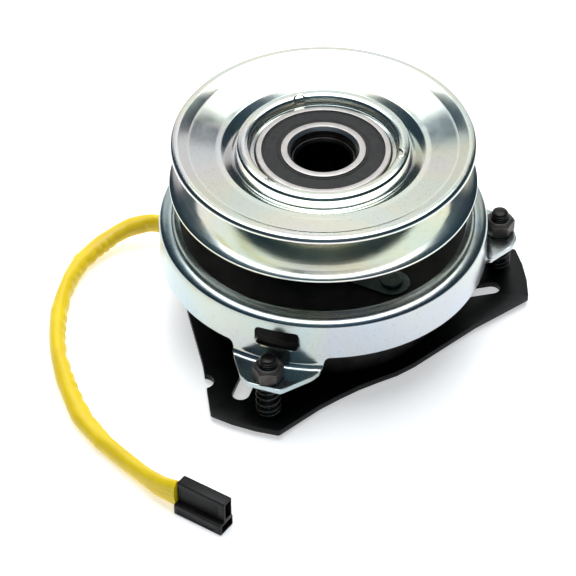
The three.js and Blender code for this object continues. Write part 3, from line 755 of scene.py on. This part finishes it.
# ---------------------------------------------------------------- bearings
def make_bearing(name, inner_body, cage_body, outer_body, size):
    """A sealed deep groove ball bearing. size holds its radii and heights."""
    bore, outer, pitch, ball, shoulder = (size[k] for k in ("bore", "outer", "pitch", "ball", "shoulder"))
    bottom, top, count = size["bottom"], size["top"], size["balls"]
    middle = (bottom + top) / 2
    land = 2 * pitch - shoulder
    recess = land + 1.2
    gap = 0.1

    def groove(radius, side):
        """The ball track's arc at a radius, side 1 on the inner ring and -1 on the outer."""
        race = ball + 0.15
        half = math.degrees(math.acos(min(1.0, abs(pitch - radius) / race)))
        turn = 180 if side > 0 else 0
        return arc(pitch, middle, race, turn + half * side, turn - half * side, 12)

    outer_ring = revolve(f"{name}_outer_race", [
        (outer, bottom), (outer, top), (recess + 0.15, top), (recess, top - 0.2), (recess, top - 1.9),
        (land, top - 1.9), *reversed(groove(land, -1)), (land, bottom + 1.9),
        (recess, bottom + 1.9), (recess, bottom + 0.2), (recess + 0.15, bottom),
    ], FINISHES["bearing"], soften=0.45)
    stand_for(outer_ring, outer_body, "bearing_steel", f"{name}_outer_ring")
    inner_ring = revolve(f"{name}_inner_race", [
        (bore, bottom + 1.5), (bore + 1.5, bottom), (shoulder, bottom), *reversed(groove(shoulder, 1)),
        (shoulder, top), (bore + 1.5, top), (bore, top - 1.5),
    ], FINISHES["bearing"], soften=0.3)
    stand_for(inner_ring, inner_body, "bearing_steel", f"{name}_inner_ring")
    for place, low, up in (("top", top - 1.6, 1), ("bottom", bottom + 1.6, -1)):
        edge = recess - gap
        seal = revolve(f"{name}_{place}_shield", [
            (shoulder + gap, low), (edge, low), (edge, low + 1.1 * up), (edge - 0.7, low + 1.2 * up),
            (edge - 1.0, low + 1.0 * up), (shoulder + 2.2, low + 1.0 * up), (shoulder + 1.9, low + 0.8 * up),
            (shoulder + 1.3, low + 0.8 * up), (shoulder + 1.0, low + 1.1 * up),
            (shoulder + gap, low + 1.1 * up),
        ], FINISHES["seal"], soften=0.15)
        stand_for(seal, outer_body, "seal_rubber", f"{name}_{place}_seal")
    cage = revolve(f"{name}_balls", [
        (pitch - 1.1, middle - 1), (pitch + 1.1, middle - 1), (pitch + 1.1, middle + 1),
        (pitch - 1.1, middle + 1),
    ], FINISHES["bearing"], sides=96)
    balls = []
    for i in range(count):
        centre = polar(pitch, i * 360 / count)
        rings = [polar(ball, turn) for turn in range(-84, 85, 12)]
        rows = [circle(radius, middle + height, 24, centre) for radius, height in rings]
        balls.append(grid("ball", rows, FINISHES["bearing"]))
    combine(cage, balls, "UNION")
    stand_for(cage, cage_body, "bearing_steel", f"{name}_ball_cage")


# ---------------------------------------------------------------- pulley
STAKES = (108, -12, 228)


def press_stakes(obj):
    """Presses three round stake marks into the flare above the bearing."""
    radius, depth, wall = 2.8, 0.5, 0.7
    for angle in STAKES:
        facing = Vector((*polar(-0.7, angle), 0.72)).normalized()
        centre = Vector((*polar(34.2, angle), 95.2))

        def across(point):
            offset = point / MM - centre
            return (offset - facing * offset.dot(facing)).length

        def faces_stake(normal, middle):
            return normal.dot(facing) > 0.2 and (middle / MM - centre).length < 6

        with edited(obj) as made:
            for _ in range(2):
                near = [f for f in made.faces if faces_stake(f.normal, f.calc_center_median())
                        and across(f.calc_center_median()) < radius + 1.2
                        and min(v.co.z for v in f.verts) > 91.9 * MM]
                edges = {e for f in near for e in f.edges}
                bmesh.ops.subdivide_edges(made, edges=list(edges), cuts=1, use_grid_fill=True, smooth=0.0)
            for point in made.verts:
                if faces_stake(point.normal, point.co):
                    away = across(point.co)
                    sunk = max(0.0, min(1.0, (radius - away) / wall))
                    sunk = sunk * sunk * (3 - 2 * sunk)
                    raised = 0.12 * bump_at(away, radius + 0.45, 0.35)
                    above_lip = max(0.0, min(1.0, (point.co.z / MM - 92.6) / 2))
                    point.co += facing * above_lip * (raised - depth * sunk) * MM


def make_pulley():
    sheet, neck, lip, rim, top = 2.3, 33.7, 31.4, 69.85, 98.1
    upper = revolve("pulley_top_half", [
        (neck, 80), (neck, 90.25), (lip, 90.25), (lip, 91.2), (33.3, 91.4), (33.8, 92),
        *arc(35.6, 94.4, 1.8, 180, 115, 8), *arc(36.6, 89.35, 7, 98, 82, 8), *arc(37.9, 94.4, 1.8, 65, 0, 8),
        (39.85, 91.6), (40.2, 90.4), (41.1, 90.0), (42.1, 90.3), (44.5, 91.75), (46.6, 93.05), (47.2, 93.15),
        (49.0, 93.15), (49.7, 93.3), (60.4, 95.87), (61.1, 96.05), (61.9, 96.1), (65.7, 97.95), (66.3, top),
        *arc(67.75, top - 2.1, 2.1, 90, 0, 8), (rim, top - sheet), (66.2, 95.5),
        (62, 94), (50.4, 90.9), (47.6, 90.8), (42.9, 88.05), (42.2, 87.8), (38.2, 87.8), (37.6, 88.4),
        (37.6, 93.4), (37.2, 94), (neck + sheet + 0.4, 94), (neck + sheet, 93.4), (neck + sheet, 80),
    ], FINISHES["zinc"], sides=288, soften=0.4)
    press_stakes(upper)
    stand_for(upper, "pulley", "zinc_plated_steel", "pulley_upper")
    lower = revolve("pulley_bottom_half", [
        (36.3, 85.1), (36.3, 87.4), (42.4, 87.4), (47.4, 90.25), (48.8, 90.3), (50, 89.2), (50, 83.8),
        (51, 82.5), (52, 82.15), (63.5, 78.4), (66, 77.45), (66.6, 77.2), (68.5, 76.35), (70.2, 75.5),
        (70.7, 75.1), (70.8, 74.8), (70.8, 74), (69.9, 73.2), (67.5, 74.4), (65, 75.4), (62.8, 76.2),
        (50.2, 80.3), (47.7, 82.6), (47.7, 87.2), (46.9, 87.3), (43.2, 85.1),
    ], FINISHES["zinc"], sides=240, soften=0.7)
    stand_for(lower, "pulley", "zinc_plated_steel", "pulley_lower")
    hub = revolve("pulley_hub_body", [
        (22.6, 51.7), (44, 51.7), (44, 54.7), (27, 54.7), (27, 73.4), (33.4, 73.4),
        (33.4, 89.9), (31.4, 89.9), (31.4, 76.2), (22.6, 76.2),
    ], FINISHES["bearing"], soften=0.4)
    spots = rivet_spots("hub_rivet")
    combine(hub, [drill(spot, 3.3, 50, 56) for spot in spots])
    stand_for(hub, "pulley", "zinc_plated_steel", "pulley_hub")
    for number, spot in enumerate(spots, start=1):
        rivet = rivet_body(f"hub_rivet_{number}_head", 48.4, 50.3, 55.0, 56.8, FINISHES["rivet"])
        turned_to(rivet, 0, spot)
        stand_for(rivet, "pulley", "zinc_plated_steel", f"hub_rivet_{number}")


def rivet_spots(prefix):
    """The centres of the three rivets of that name, from the frame."""
    spots = []
    for number in (1, 2, 3):
        low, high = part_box(f"{prefix}_{number}")
        spots.append(tuple((a / MM + b / MM) / 2 for a, b in zip(low.xy, high.xy)))
    return spots


def rivet_body(name, bottom, lower_seat, upper_seat, top, material, head=4.8, shank=3.0):
    """A rivet with a set head at the top and, if lower_seat is above bottom, a formed head below."""
    section = [(0, top), (head - 0.25, top), (head - 0.05, top - 0.15), (head, top - 0.35),
               (head, upper_seat), (shank, upper_seat), (shank, lower_seat)]
    if lower_seat > bottom:
        section += [(head, lower_seat), (head, bottom + 0.6), (head - 0.6, bottom), (0, bottom)]
    else:
        section += [(0, bottom)]
    return revolve(name, section, material, sides=48, soften=0.15)


# ---------------------------------------------------------------- rotor and armature
def make_rotor():
    hub = revolve("rotor_hub_body", [
        (12.7, 3), (19.65, 3), (19.65, 24.4), (22, 24.4), (22, 32), (28.5, 33), (28.5, 38.4), (19.65, 38.4),
        (19.65, 76.2), (14.65, 76.2), (14.65, 87.7), (13.9, 87.7), (12.7, 86.5),
    ], FINISHES["hub"], soften=0.3)
    key = grid("key", [[(-3.175, 5, z), (3.175, 5, z), (3.175, 15.5, z), (-3.175, 15.5, z)]
                       for z in (-1, 74)], None)
    combine(hub, [key])
    stand_for(hub, "rotor", "dark_steel", "rotor_hub")
    disc = revolve("rotor_disc_body", [
        (20, 38.7), (58.2, 38.7), (58.2, 30), (64, 30), (64, 38.7), (69, 38.7), (69, 44.7), (20, 44.7),
    ], FINISHES["armature"], sides=180, soften=0.4)
    slots = []
    for turn in THIRDS:
        for middle, start, end in ((44.5, 10, 110), (53.5, -50, 50)):
            outline = [*arc(0, 0, middle + 1.5, turn + start, turn + end, 24),
                       *arc(0, 0, middle - 1.5, turn + end, turn + start, 24)]
            slots.append(grid("slot", [[(x, y, z) for x, y in outline] for z in (37, 46)], None))
    combine(disc, slots)
    stand_for(disc, "rotor", "dark_steel", "rotor_disc")


def leaf_outline():
    """A strap along +X that widens a little from the armature rivet, at the origin, to the hub rivet."""
    length, outer, inner = 26.0, 8.3, 9.0
    flank = 90 + math.degrees(math.asin((inner - outer) / length))
    outline = [*arc(0, 0, outer, flank, 360 - flank, 28), *arc(length, 0, inner, -flank, flank, 28)]
    holes = [arc(x, 0, 3.3, 0, 345, 23) for x in (0, length)]
    return outline, holes


def make_armature():
    plate_body = revolve("armature_body", [(43.5, 45.3), (70.5, 45.3), (70.5, 50.3), (43.5, 50.3)],
                         FINISHES["armature"], sides=240, soften=0.5)
    spots = rivet_spots("armature_rivet")
    combine(plate_body, [drill(spot, 3.3, 44, 52) for spot in spots])
    stand_for(plate_body, "armature", "dark_steel", "armature_plate")
    inner_spots = rivet_spots("hub_rivet")
    for number, (outer, inner) in enumerate(zip(spots, inner_spots), start=1):
        heading = math.degrees(math.atan2(inner[1] - outer[1], inner[0] - outer[0]))
        outline, holes = leaf_outline()
        leaf = plate(f"leaf_spring_{number}_strap", outline, 50.6, 51.4, FINISHES["leaf"], holes, edge=0.15)
        subdivide_long(leaf)
        turned_to(leaf, heading, outer)
        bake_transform(leaf)
        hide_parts(f"leaf_spring_{number}")
        rivet = rivet_body(f"armature_rivet_{number}_head", 45.7, 45.7, 51.7, 53.3, FINISHES["rivet"])
        turned_to(rivet, 0, outer)
        stand_for(rivet, "armature", "zinc_plated_steel", f"armature_rivet_{number}")


def subdivide_long(obj, longest=3.0):
    """Splits edges longer than a length in millimetres."""
    with edited(obj) as made:
        for _ in range(4):
            long_edges = [e for e in made.edges if e.calc_length() > longest * MM]
            if not long_edges:
                break
            bmesh.ops.subdivide_edges(made, edges=long_edges, cuts=1)
            bmesh.ops.triangulate(made, faces=[f for f in made.faces if len(f.verts) > 3])


# ---------------------------------------------------------------- brake ring
WALL = {"inner": 73.7, "outer": 76.2, "bottom": 33.2, "top": 54.0, "corner": 2.4, "lip": 66.2}
SHEET = 2.5
SKIRT_TOP = 34.5
BEND = 3.0                       # radius of the bend from the skirt into the ear, on its outer side
EAR_TOP = 27.2
EAR_RIM = [(73, -20.6), (74.2, -20.6), (88.4, -12.4), (91.9, -8), (92.7, 8.1), (80.2, 19.1), (73.6, 22.3)]
SKIRT = (-15.6, 17.2)
WINDOW = {"bottom": 36.5, "top": 47.0, "from": -7.1, "to": 8.6, "corner": 3.0}


def ear_reach(turn):
    """How far out the ear's rim lies at an angle from its stud."""
    rim = rounded(EAR_RIM + [(71.5, 22.3), (60, 0)], 1.2, 3)
    way = Vector(polar(1, turn))
    for a, b in zip(rim, rim[1:]):
        side_a, side_b = a.x * way.y - a.y * way.x, b.x * way.y - b.y * way.x
        if side_a * side_b <= 0 and a.dot(way) > 65 and b.dot(way) > 65 and side_a != side_b:
            return (a + (b - a) * side_a / (side_a - side_b)).dot(way)
    return WALL["outer"] + 0.6


def skirt_path(distance):
    """A point of the sheet's outer face, down the wall and out along the ear, and the way into the sheet."""
    bend_top = EAR_TOP + BEND
    drop = SKIRT_TOP - bend_top
    quarter = BEND * math.pi / 2
    outer = WALL["outer"]
    if distance < drop:
        return (outer, SKIRT_TOP - distance), (-1, 0)
    if distance < drop + quarter:
        turn = (distance - drop) / BEND
        way = (-math.cos(turn), -math.sin(turn))
        return (outer + BEND + BEND * way[0], bend_top + BEND * way[1]), way
    return (outer + BEND + distance - drop - quarter, EAR_TOP), (0, -1)


def path_end(reach):
    """The distance along the skirt path at which it is that far from the axis."""
    outer = WALL["outer"]
    drop = SKIRT_TOP - EAR_TOP - BEND
    if reach >= outer + BEND:
        return drop + BEND * math.pi / 2 + reach - outer - BEND
    turn = math.acos(max(0.0, min(1.0, 1 - (reach - outer) / BEND)))
    return drop + BEND * turn


def sheet_end(angle):
    """How far the sheet runs past SKIRT_TOP at an angle about the axis, with rounded inner corners."""
    plain = SKIRT_TOP - WALL["bottom"]
    blend = 2.2
    for stud in STUD_ANGLES:
        turn = (angle - stud + 180) % 360 - 180
        if SKIRT[0] <= turn <= SKIRT[1]:
            return path_end(ear_reach(turn))
        edge = SKIRT[0] if turn < 0 else SKIRT[1]
        away = abs(turn - edge)
        if away < blend:
            full = path_end(ear_reach(edge - math.copysign(0.01, edge)))
            sink = 1 - math.sqrt(max(0.0, 1 - (1 - away / blend) ** 2))
            return plain + (full - plain) * sink
    return plain


def ring_angles():
    """Angles for the ring's columns, closer together at the ears' sides."""
    angles = {round(i * 0.9, 3) for i in range(400)}
    for stud in STUD_ANGLES:
        for edge in SKIRT:
            angles |= {round((stud + edge + offset / 10) % 360, 3) for offset in range(-26, 27)}
    return sorted(angles)


def brake_ring():
    inner, outer, top, corner, lip = (WALL[k] for k in ("inner", "outer", "top", "corner", "lip"))
    crest = [Vector(p) for p in (
        (lip, top - 3.4), (lip, top - 1.2), (lip + 0.3, top - 0.9), (68.7, top - 0.9), (69.1, top - 0.75),
        (69.6, top - 0.2), (70.2, top - 0.02), *arc(70.83, top - 8, 8, 90, 60, 6),
        *arc(outer - corner, top - 3.25, corner, 55, 0, 10))]
    wall_heights = [48.4, 47.2, 46, 44, 42, 40, 38, 36.5, 35.5]
    crest += [Vector((outer, z)) for z in wall_heights]
    back = [Vector((inner, z)) for z in reversed(wall_heights)]
    back += [Vector(p) for p in ((inner - 0.5, 49.3), (71.9, 50.3), (71.0, 50.6), (69, 50.6))]
    tail, soft = 30, 0.45
    rows = []
    for angle in ring_angles():
        end = sheet_end(angle)
        section = list(crest)
        outside, inside = [], []
        for i in range(tail + 1):
            (r, z), way = skirt_path((end - soft) * i / tail)
            outside.append(Vector((r, z)))
            inside.append(Vector((r, z)) + SHEET * Vector(way))
        (r, z), way = skirt_path(end)
        rim, into = Vector((r, z)), Vector(way)
        ahead = (rim - outside[-1]).normalized()
        corner_points = [
            outside[-1] + 0.7 * soft * ahead + 0.10 * soft * into,
            rim + 0.35 * soft * into, rim + soft * into,
            rim + (SHEET - soft) * into, rim + (SHEET - 0.35 * soft) * into,
            inside[-1] + 0.7 * soft * ahead - 0.10 * soft * into,
        ]
        section += outside + corner_points + list(reversed(inside)) + back
        x, y = polar(1, angle)
        rows.append([(p.x * x, p.x * y, p.y) for p in section])
    ring = grid("brake_ring_pressing", rows, FINISHES["zinc_pressed_painted_shade"], along=True, smooth=38)
    tools = []
    for stud in STUD_ANGLES:
        tools.append(drill(polar(STUD_CIRCLE, stud), 4.6, EAR_TOP - SHEET - 2, EAR_TOP + 2))
        tools.append(window_cutter(stud))
    combine(ring, tools, smooth=38)
    low, high = WINDOW["bottom"] - 1, WINDOW["top"] + 1
    soften_edges(ring, 0.45, 55, lambda p: low < p.z < high and p.xy.length > outer - 0.2)
    return ring


def window_cutter(stud):
    """A feeler gauge window with rounded corners, as a block through the wall."""
    across = math.radians(1) * WALL["outer"]
    outline = rounded([(WINDOW["from"] * across, WINDOW["bottom"]), (WINDOW["to"] * across, WINDOW["bottom"]),
                       (WINDOW["to"] * across, WINDOW["top"]), (WINDOW["from"] * across, WINDOW["top"])],
                      WINDOW["corner"], 6)
    dense = []
    for i, point in enumerate(outline):
        ahead = outline[(i + 1) % len(outline)]
        steps = max(1, round((ahead - point).length / 2))
        dense += [point + (ahead - point) * s / steps for s in range(steps)]
    rows = []
    for radius in (WALL["inner"] - 2, WALL["outer"] + 2):
        turns = [(math.degrees(t / WALL["outer"]), z) for t, z in dense]
        rows.append([(*polar(radius, stud + turn), z) for turn, z in turns])
    return grid("window", rows, None)


# ---------------------------------------------------------------- studs, nuts and springs
PITCH = 1.411                    # thread pitch, 5/16-18


def threaded_stud(name, material):
    """A headed stud whose thread runs from the plate to its tip."""
    sides, per_turn, core, crest = 40, 10, 3.3, 3.97
    bottom, top = 5.6, 38.7
    head = ((6.2, 0.0), (6.75, 0.12), (7.0, 0.5), (7.0, 1.8), (6.8, 2.15), (crest, 2.2), (crest, 3.8))
    rows = [circle(radius, z, sides) for radius, z in (*head, (crest, bottom))]
    steps = round((top - bottom) / PITCH * per_turn)
    for i in range(1, steps + 1):
        z = bottom + (top - bottom) * i / steps
        fade = min(1.0, (z - bottom) / 1.5)
        limit = min(crest, core - 0.2 + (top - z) * 1.1)
        row = []
        for k in range(sides):
            phase = (z / PITCH - k / sides) % 1.0
            tooth = min(1.0, max(0.0, 2.4 * abs(phase - 0.5) - 0.1))
            radius = min(crest - fade * (crest - core) * (1 - tooth), limit)
            row.append((*polar(radius, 360 * k / sides), z))
        rows.append(row)
    return grid(name, rows, material, smooth=50)


def hex_radius(angle, flats, soften=0.6):
    """Distance to the side of a hexagon at an angle in radians, with slightly rounded corners."""
    turn = (math.degrees(angle) + 30) % 60 - 30
    side = flats / 2 / math.cos(math.radians(30 - abs(turn)))
    return min(side, flats / math.sqrt(3) - soften * 0.12)


def lock_nut(name):
    """A prevailing torque nut: hexagon, domed shoulders and a dark insert round the stud."""
    bottom, shoulder, top, flats = 27.5, 33.7, 34.8, 12.7
    corner, half = flats / math.sqrt(3), flats / 2
    sides = 144
    # Each ring has a greatest radius, a height and the slope of the chamfer that dips its corners.
    rings = [(4.6, bottom, 0), (half - 0.3, bottom, 0), (half + 0.1, bottom + 0.02, 0),
             (corner, bottom + 0.25, 0.5),
             *((corner, z, 0) for z in (28.8, 30.4, 32.0)), (corner, shoulder, -0.75),
             (half - 0.15, shoulder + 0.22, 0), (5.35, top - 0.12, 0), (5.1, top, 0), (4.9, top - 0.05, 0),
             (4.8, top - 0.5, 0), (4.15, top - 0.6, 0), (4.1, bottom + 0.6, 0)]
    rows = []
    for limit, z, slope in rings:
        row = []
        for k in range(sides):
            angle = 2 * math.pi * k / sides
            radius = min(hex_radius(angle, flats), limit)
            row.append((radius * math.cos(angle), radius * math.sin(angle), z + slope * (radius - half)))
        rows.append(row)
    nut = grid(name, rows, FINISHES["phosphate"], along=True, smooth=32)
    nut.data.materials.append(FINISHES["insert"])
    for face in nut.data.polygons:
        middle = face.center / MM
        if middle.xy.length < 4.75 and middle.z > 33:
            face.material_index = 1
    return nut


def coil_spring(name, material):
    """An open coil spring with closed ends, round the stud."""
    radius, wire, turns, per_turn, sides = 5.1, 0.75, 6.0, 40, 16
    bottom, top = 5.5 + wire + 0.25, EAR_TOP - SHEET - wire - 0.25
    steps = round(turns * per_turn)
    path = []
    for i in range(steps + 1):
        t = i / steps
        eased = t - math.sin(2 * math.pi * t) / (2 * math.pi) * 0.45
        path.append(Vector((*polar(radius, 360 * turns * t), bottom + (top - bottom) * eased)))
    rows = []
    for i, centre in enumerate(path):
        ahead = (path[min(i + 1, steps)] - path[max(i - 1, 0)]).normalized()
        out = Vector((centre.x, centre.y, 0)).normalized()
        over = ahead.cross(out).normalized()
        thin = 1 - 0.35 * (bump_at(i, 0, 6) + bump_at(i, steps, 6))
        rows.append([centre + wire * (math.cos(a) * out + math.sin(a) * thin * over)
                     for a in (2 * math.pi * k / sides for k in range(sides))])
    return grid(name, rows, material, smooth=60)


def make_brake():
    stand_for(brake_ring(), "brake", "zinc_plated_steel", "brake_ring")
    for number, angle in enumerate(STUD_ANGLES, start=1):
        spot = polar(STUD_CIRCLE, angle)
        stud = turned_to(threaded_stud(f"threaded_stud_{number}", FINISHES["stud"]), 0, spot)
        stand_for(stud, "field", "dark_steel", f"adjusting_stud_{number}")
        nut = turned_to(lock_nut(f"hex_lock_nut_{number}"), angle - STUD_ANGLES[0], spot)
        stand_for(nut, f"nut_{number}", "phosphate_nut", f"lock_nut_{number}")
        spring = turned_to(coil_spring(f"brake_coil_spring_{number}", FINISHES["spring"]), 40, spot)
        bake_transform(spring)
        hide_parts(f"brake_spring_{number}")


# ---------------------------------------------------------------- field
def plate_outline():
    """The mounting plate's outline, the same three times round."""
    corners = [(-31, 74.8), (-15, 97), (-8.3, 97), (-1.7, 97), (5, 97), (9.9, 86.8), (16, 77.6), (23, 71.4),
               (31, 67), (40, 65), (48.7, 65), (57.5, 65)]
    outline = [polar(radius, stud + turn) for stud in STUD_ANGLES for turn, radius in corners]
    return rounded(outline, 2.0, 4)


def slot_hole(stud):
    ends = [*arc(78.2, -15.6, 4, -90, 90, 12), *arc(66.2, -15.6, 4, 90, 270, 12)]
    turn = Matrix.Rotation(math.radians(stud), 2)
    return [tuple(turn @ Vector(p)) for p in ends]


def make_field():
    holes = [arc(0, 0, 24, 0, 357, 119)]
    for stud in STUD_ANGLES:
        holes.append(slot_hole(stud))
        holes.append(arc(*polar(STUD_CIRCLE, stud), 4.35, 0, 345, 23))
    base = plate("mounting_plate_pressing", plate_outline(), 2.5, 5.5, FINISHES["e_coat"], holes, edge=0.45)
    combine(base, [drill((-55.3, -61.4), 4.6, 1, 7)])
    stand_for(base, "field", "black_coated_plate", "mounting_plate")

    shell = revolve("field_shell_body", [
        (30, 5.8), (57.5, 5.8), (57.5, 37.5), (54, 37.5), (54, 8.8), (38, 8.8), (38, 37.5), (34.4, 37.5),
        (34.4, 26.6), (36, 26.6), (36, 24.4), (34.4, 24.4), (34.4, 8.8), (30, 8.8),
    ], FINISHES["dark_steel"], sides=160, soften=0.5)
    combine(shell, [along_lead(drill((0, 0), 6.3, 50, 62))])
    stand_for(shell, "field", "dark_steel", "field_shell")

    grommet = along_lead(revolve("lead_grommet_body", [
        (4.6, 54.6), (6, 54.6), (6, 57.8), (7.8, 57.8), (7.8, 58.9), (7.3, 59.7), (6.6, 60), (4.6, 60),
    ], FINISHES["grommet"], sides=64, soften=0.4))
    stand_for(grommet, "field", "seal_rubber", "lead_grommet")


def along_lead(obj):
    """Turns a piece built on +Z so that it points out of the field shell along the lead."""
    out = Matrix.Rotation(math.radians(151.5), 4, "Z") @ Matrix.Rotation(math.radians(90), 4, "Y")
    return move(obj, Matrix.Translation((0, 0, 14 * MM)) @ out)


def dress_hidden_nodes():
    """Finishes for the CAD nodes that stay: what the shells hold inside."""
    looks = {
        "coil_bobbin": ("bobbin", "bobbin_nylon"),
        "coil_winding": ("copper", "coil_copper"),
        "coil_potting": ("potting", "potting_epoxy"),
        "field_snap_ring": ("spring", "spring_steel"),
    }
    for node, (finish, slot) in looks.items():
        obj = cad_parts[node]
        obj.data.materials.clear()
        obj.data.materials.append(FINISHES[finish])


# ---------------------------------------------------------------- the clutch
PULLEY_BEARING = {"bore": 15, "outer": 31, "bottom": 76.5, "top": 92.5, "pitch": 23.25, "ball": 4.76,
                  "balls": 9, "shoulder": 19.5}
FIELD_BEARING = {"bore": 20, "outer": 34, "bottom": 9.1, "top": 24.1, "pitch": 27, "ball": 3.97,
                 "balls": 12, "shoulder": 24.2}

make_camera()
FINISHES.update(make_finishes())
make_lead()
make_studio()
make_field()
make_bearing("field_bearing", "rotor", "field_cage", "field", FIELD_BEARING)
make_rotor()
make_bearing("pulley_bearing", "rotor", "pulley_cage", "pulley", PULLEY_BEARING)
make_pulley()
make_armature()
make_brake()
dress_hidden_nodes()
